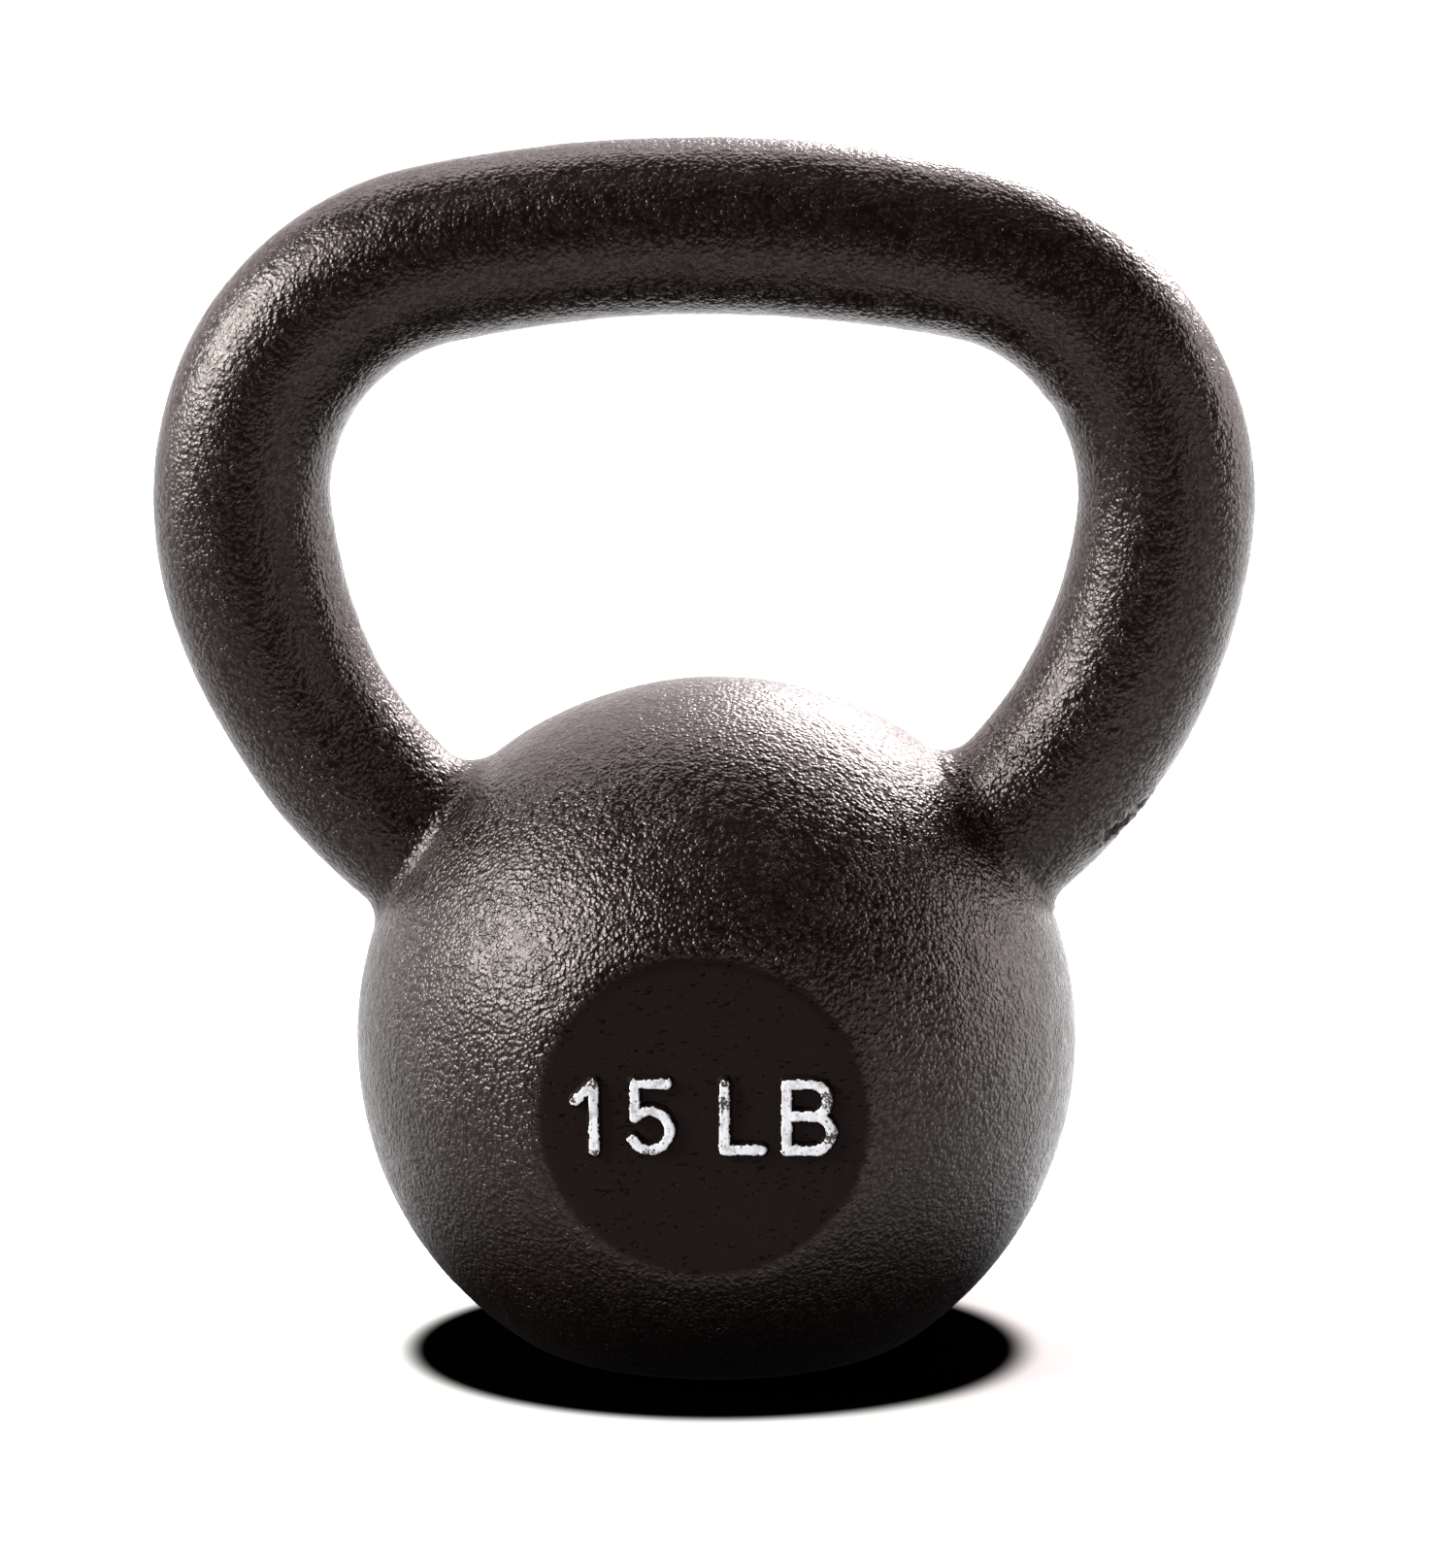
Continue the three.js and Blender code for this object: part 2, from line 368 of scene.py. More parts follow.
@dataclass(frozen=True)
class CastSkin:
    """The relief of the casting's skin: slow waves, small lumps, pebbles, and its few scars."""

    shape: CastingField
    noise: SandNoise = field(default_factory=SandNoise)
    wave: float = 0.16 * MM
    lump: float = 0.06 * MM
    pebble: float = 0.11 * MM
    pebble_size: float = 1.5 * MM
    gate_ends: tuple = ((62.0, -8.2, 82.6), (67.0, -5.4, 87.6))
    fold_top: tuple = (54.5, -2.0, 151.5)
    fold_foot: tuple = (55.5, -2.0, 149.0)

    def height(self, points: np.ndarray) -> np.ndarray:
        """How far the skin stands off the bare casting.

        Args:
            points: Points close to the surface.

        Returns:
            The height at each point.
        """
        rough = self.roughness(points)
        wave = self.wave * self.noise.swell(points, 24 * MM, 1) * (0.25 + 0.75 * rough)
        lump = self.lump * self.noise.swell(points, 6.5 * MM, 2) * rough
        warp = 0.5 * MM * self.noise.swell(points, 2.6 * MM, 3)[:, None]
        grain = self.noise.pebbles(points + warp, self.pebble_size, 4) - 0.62
        return wave + lump + self.pebble * grain * rough + self.scars(points)

    def roughness(self, points: np.ndarray) -> np.ndarray:
        """How much of the as-cast relief there is.

        Args:
            points: Points close to the surface.

        Returns:
            1 on the as-cast skin, and less on the smoother flats and base.
        """
        flat = self.shape.flat_distance
        on_flat = smooth(flat - 0.5 * MM, flat - 0.05 * MM, np.abs(points[:, 1]))
        on_base = smooth(1.2 * MM, 0.2 * MM, points[:, 2])
        return 1.0 - 0.8 * np.maximum(on_flat, on_base)

    def scars(self, points: np.ndarray) -> np.ndarray:
        """The gate's broken stub and bead on the right leg, and the fold inside its shoulder.

        Args:
            points: Points close to the surface.

        Returns:
            The height that they add at each point.
        """
        start, end = np.array(self.gate_ends) * MM
        along = end - start
        t = np.clip((points - start) @ along / (along @ along), 0.0, 1.0)
        off = np.linalg.norm(points - start - t[:, None] * along, axis=1)
        crack = np.exp(-((off / (0.9 * MM)) ** 2))
        crumbs = np.exp(-((off / (2.6 * MM)) ** 2)) * (self.noise.pebbles(points, 1.9 * MM, 9) - 0.1)
        ball, bar = self.shape.parts(points)
        right_front = smooth(34 * MM, 38 * MM, points[:, 0]) * smooth(-1 * MM, -5 * MM, points[:, 1])
        bead = np.exp(-(((ball - bar + 0.6 * MM) / (0.8 * MM)) ** 2)) * right_front
        fold = self._near(points, self.fold_top, (2.6, 7.0, 1.6))
        under = self._near(points, self.fold_foot, (2.6, 6.0, 1.4))
        return MM * (1.2 * crumbs - 1.3 * crack + 0.45 * fold - 0.35 * under + 0.4 * bead)

    @staticmethod
    def _near(points: np.ndarray, at_mm: tuple, reach_mm: tuple) -> np.ndarray:
        """A soft window around a spot.

        Args:
            points: Points in space.
            at_mm: The spot, in millimetres.
            reach_mm: Its reach along each axis, in millimetres.

        Returns:
            1 at the spot, falling to 0 away from it.
        """
        off = (points / MM - np.array(at_mm)) / np.array(reach_mm)
        return np.exp(-(off**2).sum(axis=1))


# Finishes


class NodeBench:
    """A short way to lay out the nodes of one material, or of the world."""

    def __init__(self, owner: bpy.types.Material | bpy.types.World) -> None:
        """Starts with nothing but the owner's own space.

        Args:
            owner: What the nodes belong to.
        """
        owner.use_nodes = True
        self.owner = owner
        self.tree = owner.node_tree
        self.tree.nodes.clear()
        self.where = self.add("ShaderNodeTexCoord").outputs["Object"]

    def add(self, kind: str, **settings: object) -> bpy.types.Node:
        """Adds a node.

        Args:
            kind: The node's type.
            settings: Its properties.

        Returns:
            The node.
        """
        node = self.tree.nodes.new(kind)
        for key, value in settings.items():
            setattr(node, key, value)
        return node

    def link(self, source: Socket, target: Socket) -> None:
        """Joins two sockets."""
        self.tree.links.new(source, target)

    def noise(self, size: float, detail: float = 2.0, rough: float = 0.5) -> Socket:
        """Noise read in the object's own space.

        Args:
            size: The distance between its lumps, in metres.
            detail: How many finer layers it has.
            rough: How strong those layers are.

        Returns:
            Its value.
        """
        node = self.add("ShaderNodeTexNoise")
        node.inputs["Scale"].default_value = 1.0 / size
        node.inputs["Detail"].default_value = detail
        node.inputs["Roughness"].default_value = rough
        self.link(self.where, node.inputs["Vector"])
        return node.outputs["Fac"]

    def grains(self, size: float, smoothness: float, where: Socket, span: tuple) -> Socket:
        """Grains as domes.

        Args:
            size: The distance between them, in metres.
            smoothness: How far their edges melt together.
            where: The place to read them at.
            span: How far from a grain's middle its top ends and its foot starts, in grain sizes.

        Returns:
            1 on each grain and 0 between them.
        """
        node = self.add("ShaderNodeTexVoronoi", feature="SMOOTH_F1")
        node.inputs["Scale"].default_value = 1.0 / size
        node.inputs["Smoothness"].default_value = smoothness
        self.link(where, node.inputs["Vector"])
        return self.ramp(node.outputs["Distance"], *span, (1.0, 0.0))

    def warped(self, size: float, amount: float) -> Socket:
        """The object's own space, pushed about by noise.

        Args:
            size: The distance between the noise's lumps, in metres.
            amount: How far it pushes, in metres.

        Returns:
            The warped place.
        """
        node = self.noise(size).node
        push = self.add("ShaderNodeVectorMath", operation="MULTIPLY_ADD")
        self.link(node.outputs["Color"], push.inputs[0])
        push.inputs[1].default_value = (amount, amount, amount)
        self.link(self.where, push.inputs[2])
        return push.outputs["Vector"]

    def ramp(self, value: Socket, low: float, high: float, to: tuple = (0.0, 1.0)) -> Socket:
        """A clamped, smooth change of range.

        Args:
            value: The value to change.
            low: Where the change starts.
            high: Where it ends.
            to: What it goes from and to.

        Returns:
            The changed value.
        """
        node = self.add("ShaderNodeMapRange", interpolation_type="SMOOTHSTEP")
        node.inputs["From Min"].default_value = low
        node.inputs["From Max"].default_value = high
        node.inputs["To Min"].default_value, node.inputs["To Max"].default_value = to
        self.link(value, node.inputs["Value"])
        return node.outputs["Result"]

    def math(self, kind: str, first: Socket | float, second: Socket | float) -> Socket:
        """Arithmetic on two values.

        Args:
            kind: The operation.
            first: The first value, a socket or a number.
            second: The second, a socket or a number.

        Returns:
            The result.
        """
        node = self.add("ShaderNodeMath", operation=kind)
        for socket, value in zip(node.inputs, (first, second)):
            if isinstance(value, (int, float)):
                socket.default_value = value
            else:
                self.link(value, socket)
        return node.outputs[0]

    def blend(self, share: Socket, one: tuple | Socket, two: tuple | Socket) -> Socket:
        """Mixes two colours.

        Args:
            share: How much of the second colour shows.
            one: The first colour, as a colour or a socket.
            two: The second colour, as a colour or a socket.

        Returns:
            The mixed colour.
        """
        node = self.add("ShaderNodeMix", data_type="RGBA")
        self.link(share, node.inputs["Factor"])
        for socket, colour in ((node.inputs[6], one), (node.inputs[7], two)):
            if isinstance(colour, tuple):
                socket.default_value = (*colour, 1.0)
            else:
                self.link(colour, socket)
        return node.outputs[2]

    def place(self, axis: str) -> Socket:
        """The object's own X, Y or Z.

        Args:
            axis: Which of them.

        Returns:
            Its value at each spot.
        """
        node = self.add("ShaderNodeSeparateXYZ")
        self.link(self.where, node.inputs[0])
        return node.outputs[axis]

    def bump(self, height: Socket, depth: float, under: Socket | None) -> Socket:
        """Relief too fine for the mesh.

        Args:
            height: The relief, from 0 to 1.
            depth: What 1 stands for, in metres.
            under: The relief that it lies on, or None.

        Returns:
            The bent normal.
        """
        node = self.add("ShaderNodeBump")
        node.inputs["Strength"].default_value = 1.0
        node.inputs["Distance"].default_value = depth
        self.link(height, node.inputs["Height"])
        if under is not None:
            self.link(under, node.inputs["Normal"])
        return node.outputs["Normal"]

    def finish(
        self, colour: Socket, gloss: Socket, normal: Socket, **fixed: float | tuple
    ) -> bpy.types.Material:
        """Ends the material in one shader.

        Args:
            colour: The base colour.
            gloss: The roughness.
            normal: The bent normal.
            fixed: Socket values that are the same all over, by the socket's name with _ for a space.

        Returns:
            The material.
        """
        shader = self.add("ShaderNodeBsdfPrincipled")
        self.link(colour, shader.inputs["Base Color"])
        self.link(gloss, shader.inputs["Roughness"])
        self.link(normal, shader.inputs["Normal"])
        for key, value in fixed.items():
            shader.inputs[key.replace("_", " ")].default_value = value
        out = self.add("ShaderNodeOutputMaterial")
        self.link(shader.outputs["BSDF"], out.inputs["Surface"])
        return self.owner

    def show(self, seen: bpy.types.Node, mirrored: bpy.types.Node, kind: str) -> None:
        """Ends in one shader for what looks straight at it, and another for what mirrors it.

        Args:
            seen: The shader to look at.
            mirrored: The shader that reflections and lighting see.
            kind: The output node's type.
        """
        ray = self.add("ShaderNodeLightPath")
        pick = self.add("ShaderNodeMixShader")
        self.link(ray.outputs["Is Camera Ray"], pick.inputs[0])
        self.link(mirrored.outputs[0], pick.inputs[1])
        self.link(seen.outputs[0], pick.inputs[2])
        self.link(pick.outputs[0], self.add(kind).inputs["Surface"])


@dataclass(frozen=True)
class GlossEnamel:
    """Black baked enamel that follows the pebbled skin of the casting."""

    name: str = "black_enamel"
    flat_distance: float = 51.6 * MM
    dark: tuple = (0.0042, 0.0021, 0.0017)
    grain_top_tone: tuple = (0.0075, 0.0045, 0.0040)
    flat_tone: tuple = (0.0080, 0.0048, 0.0042)
    # Painted shade for the pits.
    painted_pit_shade: tuple = (0.0005, 0.0003, 0.0003)
    grain_size: float = 0.72 * MM
    grain_depth: float = 0.14 * MM
    shine: float = 0.5
    flat_shine: float = 0.07

    def make(self) -> bpy.types.Material:
        """Builds the material.

        Returns:
            The enamel.
        """
        b = NodeBench(bpy.data.materials.new(self.name))
        depth = b.math("ABSOLUTE", b.place("Y"), 0.0)
        on_flat = b.ramp(depth, self.flat_distance - 0.35 * MM, self.flat_distance - 0.05 * MM)
        near_flat = b.ramp(depth, self.flat_distance - 0.45 * MM, self.flat_distance - 0.02 * MM)
        cells = b.grains(self.grain_size, 0.25, b.warped(0.8 * MM, 0.6 * MM), (0.12, 0.75))
        coarse = b.grains(1.25 * MM, 0.4, b.warped(1.6 * MM, 1.1 * MM), (0.1, 0.8))
        pits = self._pits(b)
        normal = self._relief(b, b.math("SUBTRACT", 1.0, on_flat), cells, coarse)
        normal = b.bump(pits, 0.06 * MM, normal)
        # Painted shade between the grains: the enamel is darkest in the valleys and a little lighter on
        # the grain tops.
        colour = b.blend(b.ramp(cells, 0.2, 1.0), self.dark, self.grain_top_tone)
        colour = b.blend(b.math("SUBTRACT", 1.0, near_flat), self.flat_tone, colour)
        # Painted shade in the pits: they take a near-black colour.
        colour = b.blend(pits, self.painted_pit_shade, colour)
        gloss = b.ramp(b.noise(3.5 * MM, 4.0, 0.6), 0.3, 0.72, (0.20, 0.32))
        made = b.finish(colour, gloss, normal, Specular_Tint=(1.0, 0.84, 0.82, 1.0))
        # Painted shade in the reflections: the specular level drops in the valleys between grains and
        # round the coarse grains' feet, though not on the flats.
        between = b.ramp(cells, 0.02, 0.42, (0.62, 1.0))
        painted_hollow_shade = b.math("MULTIPLY", between, b.ramp(coarse, 0.0, 0.4, (0.8, 1.0)))
        shining = b.math("MULTIPLY", b.math("MAXIMUM", painted_hollow_shade, on_flat), self.shine)
        duller = b.ramp(near_flat, 0.0, 1.0, (1.0, self.flat_shine / self.shine))
        level = made.node_tree.nodes["Principled BSDF"].inputs["Specular IOR Level"]
        b.link(b.math("MULTIPLY", shining, duller), level)
        return made

    def _relief(self, b: NodeBench, cast: Socket, cells: Socket, coarse: Socket) -> Socket:
        """The grain of the enamel, a little calmer on the handle than on the bell.

        Args:
            b: The material's bench.
            cast: 1 on the as-cast skin and 0 on the flats.
            cells: The fine grains.
            coarse: The coarse grains.

        Returns:
            The bent normal.
        """
        calm = b.ramp(b.place("Z"), 88 * MM, 118 * MM, (1.0, 0.6))
        grained = b.math("MULTIPLY", cast, calm)
        patchy = b.ramp(b.noise(7 * MM, 3.0, 0.6), 0.3, 0.7, (0.6, 1.0))
        lumps = b.math("MULTIPLY", b.noise(2.6 * MM, 2.0, 0.5), b.ramp(cast, 0, 1, (0.2, 1.0)))
        fine = b.math("MULTIPLY", b.noise(0.3 * MM, 2.0, 0.6), b.ramp(cast, 0, 1, (0.45, 1.0)))
        grains = b.math("MULTIPLY", b.math("MULTIPLY", cells, patchy), grained)
        normal = b.bump(grains, self.grain_depth, None)
        normal = b.bump(b.math("MULTIPLY", coarse, grained), 0.075 * MM, normal)
        normal = b.bump(lumps, 0.12 * MM, normal)
        return b.bump(fine, 0.028 * MM, normal)

    @staticmethod
    def _pits(b: NodeBench) -> Socket:
        """Short pits that lie mostly level.

        Args:
            b: The material's bench.

        Returns:
            0 in a pit and 1 between them.
        """
        flat_wise = b.add("ShaderNodeMapping")
        flat_wise.inputs["Scale"].default_value = (0.55, 1.0, 1.7)
        b.link(b.warped(3.0 * MM, 1.0 * MM), flat_wise.inputs["Vector"])
        short = b.add("ShaderNodeTexNoise")
        short.inputs["Scale"].default_value = 1.0 / (0.9 * MM)
        short.inputs["Detail"].default_value = 1.5
        b.link(flat_wise.outputs["Vector"], short.inputs["Vector"])
        few = b.ramp(b.noise(5 * MM, 2.0), 0.35, 0.65, (0.70, 0.61))
        over = b.math("SUBTRACT", short.outputs["Fac"], few)
        return b.ramp(over, 0.0, 0.05, (1.0, 0.0))


@dataclass(frozen=True)
class WornPaint:
    """White paint rubbed onto raised iron, thin and speckled in places."""

    name: str = "worn_white_paint"
    fresh: tuple = (0.74, 0.73, 0.78)
    thin: tuple = (0.47, 0.45, 0.48)
    bare: tuple = (0.03, 0.025, 0.023)
    rubbed: tuple = (
        (-16.3, 54.0, 1.5), (-20.3, 50.8, 1.2), (-15.8, 42.5, 0.9), (-8.2, 42.3, 1.3),
        (3.1, 53.6, 0.9), (3.1, 50.3, 1.3), (18.9, 51.0, 1.6), (19.6, 45.0, 1.7), (-4.8, 49.5, 1.0),
    )

    def make(self) -> bpy.types.Material:
        """Builds the material.

        Returns:
            The paint.
        """
        b = NodeBench(bpy.data.materials.new(self.name))
        cover = b.noise(1.9 * MM, 4.0, 0.65)
        speck = b.noise(0.42 * MM, 3.0, 0.65)
        wear = self._wear(b)
        colour = b.blend(b.ramp(cover, 0.36, 0.52), self.thin, self.fresh)
        gone = b.ramp(b.math("ADD", speck, b.math("MULTIPLY", wear, 0.2)), 0.6, 0.68)
        colour = b.blend(gone, colour, self.bare)
        normal = b.bump(b.noise(0.7 * MM, 3.0, 0.6), 0.09 * MM, None)
        gloss = b.ramp(cover, 0.3, 0.7, (0.62, 0.45))
        return b.finish(colour, gloss, normal, Specular_IOR_Level=0.45)

    def _wear(self, b: NodeBench) -> Socket:
        """How rubbed the paint is.

        Args:
            b: The material's bench.

        Returns:
            1 in the middle of each rubbed spot, falling to 0 away from it.
        """
        total = None
        for x, z, reach in self.rubbed:
            away = b.add("ShaderNodeVectorMath", operation="DISTANCE")
            flat = b.add("ShaderNodeVectorMath", operation="MULTIPLY")
            b.link(b.where, flat.inputs[0])
            flat.inputs[1].default_value = (1.0, 0.0, 1.0)
            b.link(flat.outputs["Vector"], away.inputs[0])
            away.inputs[1].default_value = (x * MM, 0.0, z * MM)
            spot = b.ramp(away.outputs["Value"], 0.3 * reach * MM, 1.5 * reach * MM, (1.0, 0.0))
            total = spot if total is None else b.math("MAXIMUM", total, spot)
        return total


@dataclass(frozen=True)
class StudioFloor:
    """A pale studio floor, lit to white partly by a painted glow, with a deep soft shadow painted into its
    colour where the bell stands.
    """

    name: str = "pale_floor"
    shadow_reach: tuple = (50.0 * MM, 38.0 * MM)
    shadow_forward: float = 12.0 * MM
    dim_from: float = 400.0 * MM
    dim_to: float = 700.0 * MM

    def make(self) -> bpy.types.Material:
        """Builds the material.

        Returns:
            The floor's finish.
        """
        b = NodeBench(bpy.data.materials.new(self.name))
        x, y = b.place("X"), b.place("Y")
        across = b.math("DIVIDE", x, self.shadow_reach[0])
        along = b.math("DIVIDE", b.math("ADD", y, self.shadow_forward), self.shadow_reach[1])
        squares = b.math("ADD", b.math("POWER", across, 2.0), b.math("POWER", along, 2.0))
        from_bell = b.math("SQRT", squares, 0.0)
        # Painted shadow: the floor's own colour goes near-black inside a soft ellipse round the bell's
        # foot, 0 inside and 1 outside here.
        outside_painted_shadow = b.ramp(from_bell, 0.93, 1.06)
        tone = b.ramp(b.noise(0.4, 1.0), 0.0, 1.0, (0.98, 1.0))
        # Painted glow seen straight on: the floor, though no lamp, glows white, from nothing at the
        # painted shadow's edge to full at about three times its reach.
        bright = b.math("MULTIPLY", b.ramp(from_bell, 1.0, 3.2), b.math("MULTIPLY", tone, 0.9))
        seen = self._glow(b, bright)
        paint = b.add("ShaderNodeBsdfDiffuse")
        b.link(b.blend(outside_painted_shadow, (0.0002, 0.0002, 0.0002), (0.86, 0.86, 0.86)), paint.inputs["Color"])
        both = b.add("ShaderNodeAddShader")
        b.link(paint.outputs[0], both.inputs[0])
        b.link(seen.outputs[0], both.inputs[1])
        # Painted light for reflections and lighting: the floor they see glows dim far in front, bright
        # behind and a little dimmer on the left, with painted shade close round the bell.
        ahead = b.ramp(y, -self.dim_to, -self.dim_from, (0.04, 1.2))
        level = b.math("ADD", ahead, b.ramp(y, -0.05, 0.12, (0.0, 1.1)))
        level = b.math("MULTIPLY", level, b.ramp(x, -0.15, 0.05, (0.68, 1.0)))
        shaded = b.ramp(from_bell, 0.92, 2.4, (0.01, 1.0))
        mirrored = self._glow(b, b.math("MULTIPLY", level, shaded))
        b.show(both, mirrored, "ShaderNodeOutputMaterial")
        return b.owner

    @staticmethod
    def _glow(b: NodeBench, strength: Socket) -> bpy.types.Node:
        """An even white glow.

        Args:
            b: The material's bench.
            strength: How strong it is.

        Returns:
            The glow.
        """
        glow = b.add("ShaderNodeEmission")
        b.link(strength, glow.inputs["Strength"])
        return glow


# Pieces


class MeshWork:
    """Small jobs on meshes that several pieces share."""

    @staticmethod
    def points(mesh: bpy.types.Mesh) -> np.ndarray:
        """Reads a mesh's points.

        Args:
            mesh: The mesh.

        Returns:
            Its points.
        """
        flat = np.empty(len(mesh.vertices) * 3)
        mesh.vertices.foreach_get("co", flat)
        return flat.reshape(-1, 3)

    @staticmethod
    def set_points(mesh: bpy.types.Mesh, points: np.ndarray) -> None:
        """Writes an array of points back to the mesh."""
        mesh.vertices.foreach_set("co", points.ravel())
        mesh.update()

    @staticmethod
    def joined(name: str, points: np.ndarray, faces: list) -> bpy.types.Object:
        """Makes a closed, smooth piece.

        Args:
            name: The piece's name.
            points: Its points.
            faces: Its faces, as the points that each joins.

        Returns:
            The piece, placed in the scene.
        """
        mesh = bpy.data.meshes.new(name)
        mesh.from_pydata(points.tolist(), [], faces)
        mesh.update()
        work = bmesh.new()
        work.from_mesh(mesh)
        bmesh.ops.recalc_face_normals(work, faces=work.faces)
        for face in work.faces:
            face.smooth = True
        work.to_mesh(mesh)
        work.free()
        return MeshWork.place(name, mesh)

    @staticmethod
    def place(name: str, mesh: bpy.types.Mesh) -> bpy.types.Object:
        """Puts a mesh in the scene.

        Args:
            name: The name that it gets.
            mesh: The mesh.

        Returns:
            The piece.
        """
        made = bpy.data.objects.new(name, mesh)
        bpy.context.scene.collection.objects.link(made)
        return made

    @staticmethod
    def bake(made: bpy.types.Object) -> None:
        """Applies a piece's modifiers to its mesh.

        Args:
            made: The piece.
        """
        graph = bpy.context.evaluated_depsgraph_get()
        graph.update()
        mesh = bpy.data.meshes.new_from_object(made.evaluated_get(graph))
        made.modifiers.clear()
        old = made.data
        made.data = mesh
        bpy.data.meshes.remove(old)

    @staticmethod
    def dress(made: bpy.types.Object, coat: bpy.types.Material, slot: str, nodes: tuple) -> None:
        """Finishes a piece, hangs it on the part's one body and lets it stand for its nodes.

        Args:
            made: The piece.
            coat: Its finish.
            slot: The record's material slot; not used.
            nodes: The nodes that it stands for.
        """
        made.data.materials.append(coat)
        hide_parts(*nodes)
        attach(made, "root")


@dataclass
class CastBell:
    """The bell with its flats, its base and a short stub of each leg."""

    shape: CastingField
    skin: CastSkin
    stub_cut: float = 11.0 * MM
    voxel: float = 0.8 * MM
    quick_voxel: float = 1.0 * MM

    def legs(self) -> list[tuple[np.ndarray, np.ndarray]]:
        """Where the legs are cut off.

        Returns:
            The middle of each cut, left then right, and the direction up the leg there.
        """
        loop = self.shape.loop
        cuts = []
        for side in (-1.0, 1.0):
            runs = side * np.linspace(0.09, 0.22, 1301)
            line, _ = loop.at(runs)
            off = np.linalg.norm(line - np.array([0, 0, self.shape.centre_z]), axis=1)
            k = int(np.argmin(np.abs(off - self.shape.ball_radius - self.stub_cut)))
            up = line[k - 1] - line[k + 1]
            cuts.append((line[k], up / np.linalg.norm(up)))
        return cuts

    def build(self) -> bpy.types.Object:
        """Makes the bell.

        Returns:
            The finished mesh object.
        """
        work = bmesh.new()
        bmesh.ops.create_icosphere(work, subdivisions=5, radius=self.shape.ball_radius)
        bmesh.ops.translate(work, verts=work.verts, vec=(0, 0, self.shape.centre_z))
        bmesh.ops.bisect_plane(
            work, geom=work.verts[:] + work.edges[:] + work.faces[:],
            plane_co=(0, 0, 0), plane_no=(0, 0, -1), clear_outer=True,
        )
        bmesh.ops.holes_fill(work, edges=[e for e in work.edges if e.is_boundary], sides=0)
        for point, up in self.legs():
            turn = Vector(up).to_track_quat("Z", "Y").to_matrix().to_4x4()
            long = 34 * MM
            middle = point + up * (2.5 * MM - long / 2)
            bmesh.ops.create_cone(
                work, cap_ends=True, segments=96, radius1=self.shape.bar_radius,
                radius2=self.shape.bar_radius, depth=long,
                matrix=Matrix.Translation(middle) @ turn,
            )
        mesh = bpy.data.meshes.new("cast_bell")
        work.to_mesh(mesh)
        work.free()
        made = MeshWork.place("cast_bell", mesh)
        melt = made.modifiers.new("melt", "REMESH")
        melt.mode = "VOXEL"
        melt.voxel_size = self.voxel
        MeshWork.bake(made)
        self._settle(made.data)
        self._cut_stubs(made.data)
        return made

    def _settle(self, mesh: bpy.types.Mesh) -> None:
        """Moves the mesh onto the casting's surface and raises the skin on it.

        Args:
            mesh: The bell's mesh.
        """
        points = self.shape.settle(MeshWork.points(mesh), 6)
        rise = self.skin.height(points)
        points = points + self.shape.slope(points) * rise[:, None]
        MeshWork.set_points(mesh, points)

    def _cut_stubs(self, mesh: bpy.types.Mesh) -> None:
        """Cuts the stubs off square and closes them.

        Args:
            mesh: The bell's mesh.
        """
        work = bmesh.new()
        work.from_mesh(mesh)
        for point, up in self.legs():
            bmesh.ops.bisect_plane(
                work, geom=work.verts[:] + work.edges[:] + work.faces[:],
                plane_co=point, plane_no=up, clear_outer=True,
            )
            rim = [e for e in work.edges if e.is_boundary]
            capped = bmesh.ops.holes_fill(work, edges=rim, sides=0)
            bmesh.ops.triangulate(work, faces=capped["faces"])
            for edge in rim:
                edge.smooth = False
        for face in work.faces:
            face.smooth = True
        work.to_mesh(mesh)
        work.free()

    def dress(self, made: bpy.types.Object, enamel: bpy.types.Material) -> None:
        """Enamels the bell and hangs it on the part."""
        nodes = ("bell", "left_root_fillet", "right_root_fillet")
        MeshWork.dress(made, enamel, "iron", nodes)


